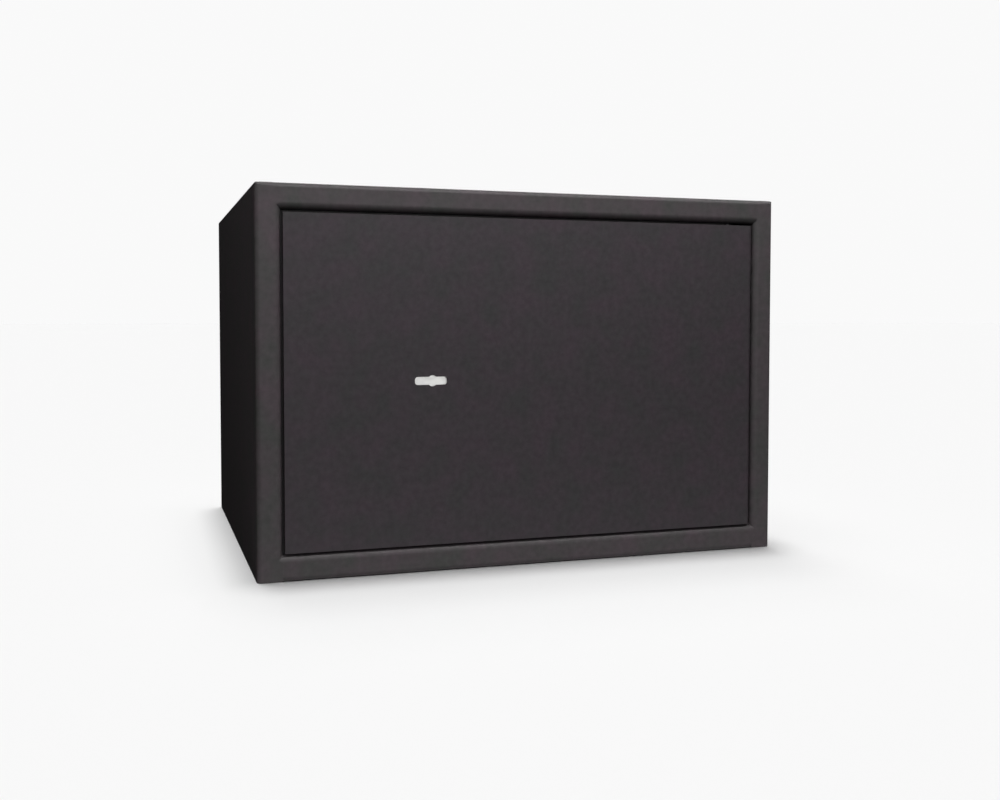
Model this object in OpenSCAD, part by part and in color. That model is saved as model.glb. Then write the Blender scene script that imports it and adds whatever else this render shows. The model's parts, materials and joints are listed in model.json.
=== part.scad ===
// Freestanding key-operated safe.
// The origin is under the middle of the cabinet, +Z is up, +X is to the right and the door faces -Y.

/* [Cabinet] */
// Outside width of the cabinet
body_w = 440; // [410:1:480]
// Outside height of the cabinet
body_h = 300; // [280:1:360]
// Outside depth of the cabinet
body_d = 350; // [300:1:420]
// Thickness of the cabinet's steel sheet
sheet_t = 3; // [2:0.5:3]
// Inner radius of the folds in the cabinet's sheet
fold_r = 1; // [0.5:0.5:2]
// Inner radius of the folds around the door opening
lip_fold_r = 2.5; // [1:0.5:2.5]
// Width of the upright at the door's opening edge
left_upright_w = 19.5; // [18:0.5:24]
// Width of the upright at the door's hinge edge
right_upright_w = 18; // [18:0.5:24]
// Height of the rail above the door
top_rail_h = 20; // [18:0.5:24]
// Height of the rail below the door
low_rail_h = 20; // [18:0.5:24]
// Depth of the lips that fold in around the door opening
lip_depth = 16; // [16:0.5:19]
// Radius ground on the welded edges along the top of the sides
ground_r = 2.5; // [0.5:0.5:2.5]
// Width of the strips that the closed door seats on
stop_w = 6; // [6:0.5:8]

/* [Inside] */
// Height of the shelf's top face
shelf_z = 160; // [120:1:190]
// Distance of the shelf's front edge behind the cabinet's face
shelf_front = 75; // [65:1:120]
// Thickness of the shelf's sheet
shelf_t = 1.5; // [1:0.5:2]
// Height of the folded front edge of the shelf
shelf_edge = 14; // [10:1:20]
// Leg of the angle rails that carry the shelf
rail_leg = 15; // [12:1:20]
// Thickness of the felt mat
mat_t = 2; // [1:0.5:4]
// Diameter of the anchor holes
anchor_d = 12; // [8:1:14]
// Distance between the two anchor holes in the base, and between those in the back
anchor_pitch = 200; // [120:1:260]
// Height of the anchor holes in the back
back_anchor_z = 230; // [210:1:250]

/* [Door] */
// Gap beside the door at its opening edge
door_gap = 1.5; // [1.5:0.5:3.5]
// Gap beside the door at its hinge edge
hinge_gap = 1.4; // [1.4:0.2:2]
// Gap above the door
top_gap = 2; // [1.5:0.5:4]
// Gap under the door
bottom_gap = 1; // [1:0.2:2.4]
// Distance of the door's face behind the cabinet's face
door_recess = 0.5; // [0:0.5:1]
// Thickness of the door plate
door_t = 5; // [5:0.5:6]
// Radius on the front of the door's hinge-side edge
edge_r = 4; // [2:0.5:4]
// Distance of the pivot line from the door's hinge-side edge
pivot_inset = 20; // [20:0.5:22]
// Distance of the pivot line behind the door's face
pivot_depth = 9.5; // [9.5:0.5:10]
// Diameter of the hinge pins
hinge_pin_d = 7; // [6:0.5:7]
// Outside diameter of the hinge bushes
bush_d = 10.5; // [10:0.5:11]
// Height of the hinge blocks
block_h = 32; // [24:1:40]
// Thickness of the fixed dog bar at the hinge side
dog_t = 6; // [4:0.5:8]
// Length of the fixed dog bar
dog_len = 150; // [80:1:180]

/* [Keyhole] */
// Distance of the key's axis from the door's opening edge
key_inset = 115.4; // [113:0.2:120]
// Width of the keyhole's slot
slot_w = 26.4; // [24:0.2:27]
// Height of the keyhole's slot
slot_h = 6.4; // [5:0.2:7]
// Radius of the slot's corners
slot_corner_r = 2.4; // [1:0.2:2.4]
// Distance of the slot's middle from the key's axis, towards the door's opening edge
slot_shift = 1.2; // [0:0.2:2]
// Diameter of the keyhole's round, which is on the key's axis
slot_round_d = 8.8; // [8:0.2:10]
// Thickness of the door that is left in front of the flap
face_skin = 1.8; // [1.5:0.1:2]
// Thickness of the flap
flap_t = 1; // [0.8:0.1:1.2]

/* [Boltwork] */
// Diameter of the two bolts
bolt_d = 18; // [14:1:20]
// Length of each bolt
bolt_len = 36; // [34:1:40]
// Distance between the bolts' axes
bolt_pitch = 110; // [104:1:130]
// Thickness of the bolt carriage
carriage_t = 4; // [3:0.5:5]
// Thickness of the bolt guide
guide_t = 6; // [4:0.5:8]
// Module of the rack and its pinion
rack_module = 1; // [0.9:0.05:1]
// Number of teeth on the pinion
pinion_teeth = 14; // [12:1:14]

/* [Lock] */
// Number of levers
lever_count = 6; // [4:1:6]
// Thickness of each lever
lever_t = 1.5; // [1:0.1:1.6]
// Angle by which a lever drops below the gate line
lever_drop = 3; // [2:0.5:3.5]
// Height of the tail of each lever
tail_h = 22; // [20:0.5:24]
// Diameter of the lever post
post_d = 6; // [4:0.5:7]
// Thickness of the lock case and its cover
case_t = 2; // [1.5:0.5:2.5]
// Thickness of the hardened plate in front of the lock
hard_t = 3; // [2:0.5:4]
// Thickness of the inner cover's sheet
inner_t = 1.5; // [1:0.5:2]

/* [Hidden] */
$fn = 64;
LEVERS = [for (i = [1 : lever_count]) str("lever_", i)];

// Colours
coat = [0.25, 0.24, 0.245];
door_coat = [0.23, 0.22, 0.23];
bright = [0.78, 0.78, 0.77];
zinc = [0.62, 0.64, 0.66];
steel = [0.5, 0.51, 0.53];
dark_steel = [0.33, 0.34, 0.35];
brass = [0.76, 0.62, 0.33];
felt = [0.13, 0.13, 0.14];

// Clearances: of a fit, of a slide, of a seat, between moving parts and around them
fit = 0.05;
seat_gap = 0.2;
slide_gap = 0.3;
wide_gap = 0.6;
part_gap = 1;
round_gap = 2;
over = 1;

// Cabinet
face_y = -body_d / 2;
back_y = body_d / 2;
bend_r = sheet_t + fold_r;
lip_bend_r = sheet_t + lip_fold_r;
open_xs = [left_upright_w - body_w / 2, body_w / 2 - right_upright_w];
inner_x = body_w / 2 - sheet_t;
key_z = body_h / 2;
shelf_side = 1.5;
rail_inset = 4;
mat_rim = 4;

// Door plate and pivot line
door_xs = [open_xs[0] + door_gap, open_xs[1] - hinge_gap];
door_lo = low_rail_h + bottom_gap;
under_top = body_h - top_rail_h;
door_hi = under_top - top_gap;
plate_back = door_recess + door_t;
pivot_x = door_xs[1] - pivot_inset;
pivot_d = door_recess + pivot_depth;
hinge_r = hinge_pin_d / 2;
block_x = 12;
block_behind = 7;
block_back = pivot_d + block_behind;
bush_h = min(top_rail_h, low_rail_h) - 2 * sheet_t - part_gap;
bush_chamfer = max(0.5, lip_bend_r - pivot_d + bush_d / 2);
washer_t = bottom_gap - fit;
washer_rim = 2;
set_screw_r = 2.5;
pin_chamfer = 1;
strip_gap = 3;
dog_inset = 8;
dog_end = 5;

// Keyhole flap, which hangs on its pin in a pocket milled into the back of the door plate
key_x = door_xs[0] + key_inset;
round_r = slot_round_d / 2;
slot_reach = slot_w / 2 + slot_shift;
flap_lap = 1.4;
flap_x = slot_reach + flap_lap;
flap_lo = key_z - round_r - flap_lap + slide_gap;
barrel_r = 1.4;
flap_pin_r = 0.6;
flap_axis_z = key_z + round_r + barrel_r + 0.4;
flap_front = door_recess + face_skin + slide_gap;
flap_axis_d = flap_front + barrel_r - 0.1;
flap_reach = norm([flap_axis_z - flap_lo, flap_axis_d - flap_front]);
pocket_rim = 0.8;
pocket_x = flap_x + 3 * pocket_rim;
pocket_lo = flap_lo - pocket_rim;
pocket_hi = flap_axis_z + barrel_r + pocket_rim;
groove_x = pocket_x + 3;
spring_half = 3;

// Depths of the lock's layers behind the cabinet's face
hard_back = plate_back + hard_t;
case_floor = hard_back + case_t;
pack_front = flap_axis_d + flap_reach + wide_gap;
lever_step = lever_t + seat_gap;
pack_back = pack_front + lever_count * lever_step - seat_gap;
cover_front = pack_back + seat_gap;
cover_back = cover_front + case_t;
carriage_front = cover_back + part_gap + wide_gap;
carriage_back = carriage_front + carriage_t;
bridge_t = 2;
bridge_front = carriage_back + wide_gap;
bridge_back = bridge_front + bridge_t;
nut_t = 3;
nut_r = 5.7;
guide_washer_t = 1;
guide_washer_r = 6.4;
nut_back = carriage_back + slide_gap + guide_washer_t + nut_t;

// Rack and pinion: half a turn of the key throws the bolts
pitch_r = rack_module * pinion_teeth / 2;
throw = PI * pitch_r;
tooth_add = 0.8 * rack_module;
tooth_ded = 1.05 * rack_module;
tooth_pitch = PI * rack_module;
backlash = 0.2;
pressure = 20;
base_r = pitch_r * cos(pressure);

// Bolts, behind the lip of the left jamb
bolt_r = bolt_d / 2;
bolt_axis = lip_depth + part_gap + bolt_r;
bolt_tip = open_xs[0] + stop_w + round_gap;
bolt_end = bolt_tip + bolt_len;
bolt_zs = [key_z - bolt_pitch / 2, key_z + bolt_pitch / 2];
bolt_chamfer = 1.5;
bolt_tap = 20;
bolt_screw_r = 3;
bolt_screw_len = 17;
bolt_screw_head = [5, 4];
inner_back = max(nut_back, bolt_axis + bolt_r) + part_gap + seat_gap;
gear_back = inner_back + inner_t;
gear_rim = 10;
gear_half_z = bolt_pitch / 2 + bolt_r + gear_rim;
guide_inset = 12;
guide_x = door_xs[0] + guide_inset;

// Lever pack
post_r = post_d / 2;
key_room = 1.2;
sweep_r = slot_reach + key_room;
head_wall = 3.1;
head_r = sweep_r + head_wall;
eye_r = post_r + 4;
post_offset = 37;
post_x = key_x + post_offset;
stump = [5, 4];
stump_foot = [4.5, 1.2, 5];
stump_offset = 25;
stump_x = key_x - stump_offset;
gate_gap = 0.6;
pocket_gap = 1.5;
tail_wall = 5;
tail_end = stump_x - throw - stump[0] / 2 - pocket_gap - tail_wall;
bellies = [9.5, 8.4, 10.2, 8.8, 9.9, 8.1];
case_room = [4, 11, 6.5];
case_lo_x = tail_end - case_room[0];
case_hi_x = post_x + case_room[1];
case_half_z = head_r + case_room[2];
lock_screw_inset = [5, 3.5];
lock_screw_xs = [case_lo_x + lock_screw_inset[0], case_hi_x - lock_screw_inset[0]];
lock_screw_zs = [key_z - case_half_z + lock_screw_inset[1], key_z + case_half_z - lock_screw_inset[1]];
lock_screw_r = 2;
lock_screw_head = 3.6;
lock_screw_bite = 2.5;
stop_pin_r = 1.5;
stop_pin_x = stump_x - throw / 2 - 4;
stop_pin_z = key_z - (post_x - stop_pin_x) * tan(lever_drop)
    - (tail_h / 2 + stop_pin_r + fit) / cos(lever_drop);
spring_block_xs = [post_x - 14, post_x - 6];
blade_t = 0.6;
blade_rise = 4;

// Bolt carriage
flange_d = [bolt_axis - bolt_r + part_gap, carriage_back];
flange_half_z = bolt_pitch / 2 + bolt_r + round_gap;
web_w = 44;
web_hi_x = bolt_end + web_w;
web_half_z = flange_half_z - 22;
arm_half_z = 17.5;
window_top = key_z + pitch_r + round_gap + tooth_add / 2;
rack_line = key_z - pitch_r;
window_side = 3;
window_x = [key_x - pitch_r - window_side, key_x + throw + pitch_r + window_side];
arm_wall = 8;
arm_end = window_x[1] + arm_wall;
stud_r = 3;
stud_inset = 12;
stud_x = bolt_end + stud_inset;
stud_rise = 7;
stud_zs = [key_z - case_half_z - case_t - stud_rise, key_z + case_half_z + case_t + stud_rise];
stud_end = 0.8;
collar_r = 5;

// Key follower and its bearing bridge
hub_wall = 2.8;
hub_r = slot_reach + hub_wall;
hub_flange_t = 1;
hub_flange_r = hub_r + 2 * hub_flange_t;
journal_r = 3;
journal_end = 0.2;
bridge_half_x = 8;
bridge_half_z = case_half_z + case_t + part_gap;
spacer_r = 3.2;
spacer_z = case_half_z - spacer_r / 2;

// Inner cover
cover_room = 17;
cover_hi_x = case_hi_x + cover_room;
cover_post_r = 4;
cover_post_inset = [10, 14];
cover_post_xs = [key_x - 15, cover_hi_x - cover_post_inset[0]];
cover_post_zs = [key_z - gear_half_z + cover_post_inset[1], key_z + gear_half_z - cover_post_inset[1]];
cover_screw_r = 2;
cover_screw_len = 7;
cover_screw_head = [3.6, 2.2];
socket_r = 1.6;
socket_depth = 1.2;

// Shared shapes

// Block between two corners; depths count from the cabinet's face
module block(xs, ds, zs)
    translate([xs[0], face_y + ds[0], zs[0]]) cube([xs[1] - xs[0], ds[1] - ds[0], zs[1] - zs[0]]);

// Flat plate between two depths, from an outline drawn in x and z
module plate(ds)
    translate([0, face_y + ds[1], 0]) rotate([90, 0, 0]) linear_extrude(ds[1] - ds[0]) children();

// Rods along each axis
module rod_x(r, xs, d, z)
    translate([xs[0], face_y + d, z]) rotate([0, 90, 0]) cylinder(r = r, h = xs[1] - xs[0]);
module rod_y(r, ds, x, z)
    translate([x, face_y + ds[0], z]) rotate([-90, 0, 0]) cylinder(r = r, h = ds[1] - ds[0]);
module rod_z(r, zs, x, d) translate([x, face_y + d, zs[0]]) cylinder(r = r, h = zs[1] - zs[0]);

// Cone along the depth, from radius r0 to radius r1
module cone_y(r0, r1, ds, x, z)
    translate([x, face_y + ds[0], z]) rotate([-90, 0, 0]) cylinder(r1 = r0, r2 = r1, h = ds[1] - ds[0]);

// A quarter of a fold with an inner radius r, standing on z = 0
module quarter_fold(r, length) rotate_extrude(angle = 90) translate([r, 0]) square([sheet_t, length]);

// Sheet folded twice: a wall, the face across its front and a lip that runs back in.
// It stands on z = 0 with the wall's outer front corner at the origin.
module folded_sheet(length, wall, face, lip) {
    translate([0, bend_r, 0]) cube([sheet_t, wall - bend_r, length]);
    translate([bend_r, bend_r, 0]) rotate([0, 0, 180]) quarter_fold(fold_r, length);
    translate([bend_r, 0, 0]) cube([face - bend_r - lip_bend_r, sheet_t, length]);
    translate([face - lip_bend_r, lip_bend_r, 0]) rotate([0, 0, 270]) quarter_fold(lip_fold_r, length);
    translate([face - sheet_t, lip_bend_r, 0]) cube([sheet_t, lip - lip_bend_r, length]);
}

// Countersunk screw along the depth; its head is flush at the depth at and its shank runs forward from there
module flat_screw(r, head, at, length, x, z) {
    rod_y(r, [at - length, at - (head - r)], x, z);
    cone_y(r, head, [at - (head - r), at], x, z);
}

// Seat for such a screw
module flat_seat(r, head, at, length, x, z) {
    rod_y(r + fit, [at - length, at + 1], x, z);
    cone_y(r + fit, head + fit, [at - (head - r), at], x, z);
}

// Cabinet

// Bar along x that rounds off an edge when it is cut away: r is the radius, and the edge is at the origin
module edge_cutter(r, length) difference() {
    translate([-over, -over, -over]) cube([length + 2 * over, r + over, r + over]);
    translate([-2 * over, r, r]) rotate([0, 90, 0]) cylinder(r = r, h = length + 4 * over);
}

// Weld metal that fills an upright's fold beside a rail of height h and continues the rail's own fold
module corner_fill(width, h) translate([width - lip_bend_r, 0, 0]) difference() {
    cube([lip_bend_r, lip_bend_r, h]);
    translate([0, 0, h]) mirror([0, 0, 1]) edge_cutter(lip_bend_r, lip_bend_r);
}

// Side panel with an upright of this width. Its foot is square and its top end is ground to the rail's fold.
module side_panel(width) translate([-body_w / 2, face_y, 0]) difference() {
    union() {
        folded_sheet(body_h, body_d, width, lip_depth);
        corner_fill(width, low_rail_h);
        translate([0, 0, body_h]) mirror([0, 0, 1]) corner_fill(width, top_rail_h);
    }
    translate([0, 0, body_h]) mirror([0, 0, 1]) edge_cutter(bend_r, width);
    translate([0, 0, body_h]) rotate([0, 0, 90]) mirror([0, 1, 0]) mirror([0, 0, 1])
        edge_cutter(ground_r, body_d);
}

module left_side_panel() color(coat) side_panel(left_upright_w);
module right_side_panel() color(coat) mirror([1, 0, 0]) side_panel(right_upright_w);

// Panel under the cabinet: its rail butts between the uprights, and its wall is notched around their lips
module rail_panel(rail_h) {
    translate([open_xs[1], face_y, 0]) rotate([0, -90, 0])
        folded_sheet(open_xs[1] - open_xs[0], body_d, rail_h, lip_depth);
    notch = [-over, sheet_t + over];
    for (end = [[-1, open_xs[0]], [1, open_xs[1]]]) {
        side = end[0];
        jamb = end[1];
        difference() {
            block_between([jamb - side * over, side * inner_x], [sheet_t, body_d], [0, sheet_t]);
            block_between([jamb - 2 * side * over, jamb + side * lip_bend_r], [0, lip_bend_r], notch);
            block_between([jamb - 2 * side * over, jamb + side * sheet_t], [0, lip_depth], notch);
            block_between([side * (inner_x - fold_r), side * (inner_x + over)], [0, bend_r], notch);
        }
    }
}

// Block whose two x values may come in either order
module block_between(xs, ds, zs) block([min(xs), max(xs)], ds, zs);

module hinge_hole(zs) rod_z(hinge_r + fit, zs, pivot_x, pivot_d);

module bottom_panel() color(coat) difference() {
    rail_panel(low_rail_h);
    hinge_hole([sheet_t + over, low_rail_h + over]);
    for (side = [-1, 1]) rod_z(anchor_d / 2, [-over, sheet_t + over], side * anchor_pitch / 2, body_d / 2);
}

module top_panel() color(coat) difference() {
    translate([0, 0, body_h]) mirror([0, 0, 1]) rail_panel(top_rail_h);
    hinge_hole([under_top - over, body_h - sheet_t - over]);
}

module back_panel() color(coat) difference() {
    block([-inner_x, inner_x], [body_d - sheet_t, body_d], [sheet_t, body_h - sheet_t]);
    for (side = [-1, 1])
        rod_y(anchor_d / 2, [body_d - sheet_t - over, body_d + over], side * anchor_pitch / 2, back_anchor_z);
}

strip_depths = [plate_back + seat_gap, lip_depth];
strip_zs = [low_rail_h + stop_w, under_top - stop_w];

module left_stop_strip() color(coat)
    block([open_xs[0], open_xs[0] + stop_w], strip_depths, [low_rail_h, under_top]);

// The top strip runs on over the hinge block, up to the pin
module top_stop_strip() color(coat)
    block([open_xs[0] + stop_w, pivot_x - hinge_r - part_gap], strip_depths, [strip_zs[1], under_top]);

module bottom_stop_strip() color(coat)
    block([open_xs[0] + stop_w, pivot_x - block_x - strip_gap], strip_depths, [low_rail_h, strip_zs[0]]);

// Bush that stands on z = 0; the chamfer at its foot clears the rail's fold
module hinge_bush() difference() {
    union() {
        translate([0, 0, bush_chamfer]) cylinder(d = bush_d, h = bush_h - bush_chamfer);
        cylinder(d1 = bush_d - 2 * bush_chamfer, d2 = bush_d, h = bush_chamfer);
    }
    translate([0, 0, -over]) cylinder(r = hinge_r + fit, h = bush_h + 2 * over);
}

upper_bush = [under_top + sheet_t, under_top + sheet_t + bush_h];
lower_bush = [low_rail_h - sheet_t - bush_h, low_rail_h - sheet_t];

module upper_hinge_bush() color(coat) translate([pivot_x, face_y + pivot_d, upper_bush[0]]) hinge_bush();
module lower_hinge_bush() color(coat)
    translate([pivot_x, face_y + pivot_d, lower_bush[1]]) mirror([0, 0, 1]) hinge_bush();

module thrust_washer() color(dark_steel) difference() {
    rod_z(hinge_r + washer_rim, [low_rail_h, low_rail_h + washer_t], pivot_x, pivot_d);
    hinge_hole([low_rail_h - over, low_rail_h + washer_t + over]);
}

shelf_x = inner_x - shelf_side;
shelf_back = body_d - sheet_t - rail_inset;

module shelf() color(coat) {
    xs = [-shelf_x, shelf_x];
    edge_zs = [shelf_z - shelf_edge, shelf_z - shelf_t];
    block(xs, [shelf_front, shelf_back], [shelf_z - shelf_t, shelf_z]);
    block(xs, [shelf_front, shelf_front + shelf_t], edge_zs);
    block(xs, [shelf_back - shelf_t, shelf_back], edge_zs);
}

// Angle rail under the shelf, on the left wall
module shelf_rail() {
    depths = [shelf_front + shelf_t + rail_inset, shelf_back - shelf_t - rail_inset];
    top = shelf_z - shelf_t;
    block([-inner_x, -inner_x + shelf_t], depths, [top - rail_leg, top]);
    block([-inner_x + shelf_t, -inner_x + rail_leg], depths, [top - shelf_t, top]);
}

module left_shelf_rail() color(zinc) shelf_rail();
module right_shelf_rail() color(zinc) mirror([1, 0, 0]) shelf_rail();

module floor_mat() color(felt) difference() {
    zs = [sheet_t, sheet_t + mat_t];
    block([-shelf_x, shelf_x], [lip_depth + round_gap, body_d - sheet_t - part_gap], zs);
    for (side = [-1, 1])
        rod_z(anchor_d / 2 + mat_rim, [zs[0] - over, zs[1] + over], side * anchor_pitch / 2, body_d / 2);
}

// Door

// Outline of the keyhole: a slot with rounded corners, whose left end is the longer one, and a round
module keyhole_outline() translate([key_x, key_z]) {
    translate([-slot_shift, 0]) {
        square([slot_w - 2 * slot_corner_r, slot_h], center = true);
        square([slot_w, slot_h - 2 * slot_corner_r], center = true);
        corner = [slot_w / 2 - slot_corner_r, slot_h / 2 - slot_corner_r];
        for (x = [-1, 1]) for (z = [-1, 1])
            translate([x * corner[0], z * corner[1]]) circle(r = slot_corner_r);
    }
    circle(r = round_r);
}

// Window behind the keyhole, through which the key passes and into which the flap swings
module key_window(ds) block([key_x - pocket_x, key_x + pocket_x], ds, [pocket_lo, pocket_hi]);

// Section of the door plate from above, whose hinge-side edge is rounded at the front
module door_section() {
    width = door_xs[1] - door_xs[0];
    translate([door_xs[0], door_recess]) square([width - edge_r, door_t]);
    translate([door_xs[0], door_recess + edge_r]) square([width, door_t - edge_r]);
    translate([door_xs[1] - edge_r, door_recess + edge_r]) circle(r = edge_r);
}

// Door plate, drilled for the keyhole and milled for the flap behind it
module door_plate() color(door_coat) difference() {
    translate([0, face_y, door_lo]) linear_extrude(door_hi - door_lo) door_section();
    plate([door_recess - over, door_recess + face_skin + over]) keyhole_outline();
    key_window([door_recess + face_skin, plate_back + over]);
    block([key_x - groove_x, key_x + groove_x], [flap_axis_d - flap_pin_r - fit, plate_back + over],
        [flap_axis_z - flap_pin_r - fit, flap_axis_z + flap_pin_r + fit]);
    for (x = lock_screw_xs) for (z = lock_screw_zs)
        rod_y(lock_screw_r + fit, [plate_back - lock_screw_bite - fit, plate_back + over], x, z);
}

lock_xs = [case_lo_x - case_t, case_hi_x + case_t];
lock_zs = [key_z - case_half_z - case_t, key_z + case_half_z + case_t];

module hard_plate() color(dark_steel) difference() {
    block(lock_xs, [plate_back, hard_back], lock_zs);
    key_window([plate_back - over, hard_back + over]);
    for (x = lock_screw_xs) for (z = lock_screw_zs)
        rod_y(lock_screw_r + fit, [plate_back - over, hard_back + over], x, z);
}

// Hinge block behind the plate, bored for its pin and drilled for a set screw
module hinge_block(zs) difference() {
    block([pivot_x - block_x, pivot_x + block_x], [plate_back, block_back], zs);
    hinge_hole([zs[0] - over, zs[1] + over]);
    rod_y(set_screw_r + fit, [pivot_d, block_back + over], pivot_x, (zs[0] + zs[1]) / 2);
}

block_top = strip_zs[1] - part_gap;
upper_block = [block_top - block_h, block_top];
lower_block = [door_lo, door_lo + block_h];

module upper_hinge_block() color(door_coat) hinge_block(upper_block);
module lower_hinge_block() color(door_coat) hinge_block(lower_block);

// Pin with a chamfered tip
module upper_hinge_pin() color(dark_steel) {
    tip = upper_bush[1] - 2 * pin_chamfer;
    rod_z(hinge_r, [upper_block[0], tip], pivot_x, pivot_d);
    translate([pivot_x, face_y + pivot_d, tip])
        cylinder(r1 = hinge_r, r2 = hinge_r - pin_chamfer, h = pin_chamfer);
}

module lower_hinge_pin() color(dark_steel) {
    tip = lower_bush[0] + pin_chamfer;
    rod_z(hinge_r, [tip + pin_chamfer, lower_block[1]], pivot_x, pivot_d);
    translate([pivot_x, face_y + pivot_d, tip])
        cylinder(r1 = hinge_r - pin_chamfer, r2 = hinge_r, h = pin_chamfer);
}

// Grub screws that hold the hinge pins, each with a hexagon socket
module hinge_set_screws() color(dark_steel) for (zs = [upper_block, lower_block]) difference() {
    middle = (zs[0] + zs[1]) / 2;
    rod_y(set_screw_r, [pivot_d + hinge_r + fit, block_back - seat_gap], pivot_x, middle);
    translate([pivot_x, face_y + block_back - seat_gap - socket_depth, middle]) rotate([-90, 0, 0])
        cylinder(r = socket_r, h = socket_depth + over, $fn = 6);
}

// Fixed dog that hooks behind the right jamb
module dog_bar() color(door_coat) {
    zs = [key_z - dog_len / 2, key_z + dog_len / 2];
    hook = [lip_depth + part_gap, lip_depth + part_gap + dog_t];
    foot = [pivot_x - dog_inset, pivot_x - dog_inset + dog_t];
    block(foot, [plate_back, hook[1]], zs);
    block([foot[1], inner_x - dog_end], hook, zs);
}

guide_zs = [key_z - gear_half_z, key_z + gear_half_z];

module bolt_guide() color(zinc) difference() {
    block([guide_x, guide_x + guide_t], [plate_back, gear_back], guide_zs);
    for (z = bolt_zs) rod_x(bolt_r + fit, [guide_x - over, guide_x + guide_t + over], bolt_axis, z);
}

// Shouldered studs on which the carriage slides
module guide_studs() color(steel) for (z = stud_zs) {
    rod_y(collar_r, [plate_back, carriage_front - slide_gap], stud_x, z);
    rod_y(stud_r, [carriage_front - slide_gap, nut_back + stud_end], stud_x, z);
}

module guide_washers() color(zinc) for (z = stud_zs) difference() {
    rod_y(guide_washer_r, [nut_back - nut_t - guide_washer_t, nut_back - nut_t], stud_x, z);
    rod_y(stud_r + fit, [carriage_back, nut_back], stud_x, z);
}

module guide_nuts() color(zinc) for (z = stud_zs) difference() {
    translate([stud_x, face_y + nut_back - nut_t, z]) rotate([-90, 0, 0])
        cylinder(r = nut_r, h = nut_t, $fn = 6);
    rod_y(stud_r + fit, [nut_back - nut_t - over, nut_back + over], stud_x, z);
}

// Lock case, a tray that is open at the back
module lock_case() color(zinc) difference() {
    block(lock_xs, [hard_back, cover_front], lock_zs);
    through = [hard_back - over, case_floor + over];
    room_zs = [key_z - case_half_z, key_z + case_half_z];
    block([case_lo_x, case_hi_x], [case_floor, cover_front + over], room_zs);
    key_window(through);
    rod_y(post_r + fit, through, post_x, key_z);
    rod_y(stop_pin_r + fit, through, stop_pin_x, stop_pin_z);
    for (x = lock_screw_xs) for (z = lock_screw_zs) rod_y(lock_screw_r + fit, through, x, z);
}

// Cover over the levers, bored for the key follower and slotted for the stump
module lock_cover() color(zinc) difference() {
    block(lock_xs, [cover_front, cover_back], lock_zs);
    through = [cover_front - over, cover_back + over];
    rod_y(hub_r + fit, through, key_x, key_z);
    block([stump_x - throw - stump[0] / 2 - gate_gap, stump_x + stump[0] / 2 + gate_gap], through,
        [key_z - stump[1] / 2 - gate_gap, key_z + stump[1] / 2 + gate_gap]);
    rod_y(post_r + fit, through, post_x, key_z);
    rod_y(stop_pin_r + fit, through, stop_pin_x, stop_pin_z);
    for (x = lock_screw_xs) for (z = lock_screw_zs)
        flat_seat(lock_screw_r, lock_screw_head, cover_back, case_t + over, x, z);
    for (side = [-1, 1]) rod_y(lock_screw_r + fit, through, key_x, key_z + side * spacer_z);
}

module lock_screws() color(zinc) for (x = lock_screw_xs) for (z = lock_screw_zs)
    flat_screw(lock_screw_r, lock_screw_head, cover_back, cover_back - plate_back + lock_screw_bite, x, z);

module lever_post() color(steel) rod_y(post_r, [hard_back, cover_back], post_x, key_z);

module lever_spacer() color(zinc) difference() {
    rod_y(eye_r - part_gap, [case_floor, pack_front - seat_gap], post_x, key_z);
    rod_y(post_r + fit, [case_floor - over, pack_front + over], post_x, key_z);
}

module lever_stop_pin() color(steel) rod_y(stop_pin_r, [hard_back, cover_back], stop_pin_x, stop_pin_z);

module spring_block() color(zinc)
    block(spring_block_xs, [pack_front, pack_back], [key_z + head_r + blade_rise / 2, key_z + case_half_z]);

// Blade spring over each lever, from the spring block down to the lever's tail
module lever_springs() color(bright) for (i = [1 : lever_count]) {
    root = [spring_block_xs[0], key_z + head_r + blade_rise];
    knee = [key_x - head_r + head_wall, root[1] - part_gap];
    tip = [stump_x - throw + stump[0], key_z + tail_h / 2 + slide_gap];
    rise = [0, blade_t];
    plate([lever_front(i) + fit, lever_front(i) + lever_t - fit])
        polygon([root, knee, tip, tip + rise, knee + rise, root + rise]);
}

module bearing_bridge() color(zinc) difference() {
    block([key_x - bridge_half_x, key_x + bridge_half_x], [bridge_front, bridge_back],
        [key_z - bridge_half_z, key_z + bridge_half_z]);
    rod_y(journal_r + fit, [bridge_front - over, bridge_back + over], key_x, key_z);
    for (z = [key_z - spacer_z, key_z + spacer_z])
        flat_seat(lock_screw_r, lock_screw_head, bridge_back, bridge_t + over, key_x, z);
}

module bridge_spacers() color(zinc) for (side = [-1, 1]) difference() {
    rod_y(spacer_r, [cover_back, bridge_front], key_x, key_z + side * spacer_z);
    rod_y(lock_screw_r + fit, [cover_back - over, bridge_front + over], key_x, key_z + side * spacer_z);
}

module bridge_screws() color(zinc) for (z = [key_z - spacer_z, key_z + spacer_z])
    flat_screw(lock_screw_r, lock_screw_head, bridge_back, bridge_back - cover_front, key_x, z);

// Tapped posts that carry the inner cover
module cover_posts() color(steel) for (x = cover_post_xs) for (z = cover_post_zs) difference() {
    rod_y(cover_post_r, [plate_back, inner_back], x, z);
    rod_y(cover_screw_r + fit, [inner_back - cover_screw_len - round_gap, inner_back + over], x, z);
}

// Sheet cover over the boltwork; the bolt guide closes its left side
module inner_cover() color(coat) difference() {
    block([guide_x + guide_t, cover_hi_x], [plate_back, gear_back], guide_zs);
    block([guide_x + guide_t - over, cover_hi_x - inner_t], [plate_back - over, inner_back],
        [guide_zs[0] + inner_t, guide_zs[1] - inner_t]);
    for (x = cover_post_xs) for (z = cover_post_zs)
        rod_y(cover_screw_r + slide_gap, [inner_back - over, gear_back + over], x, z);
}

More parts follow.
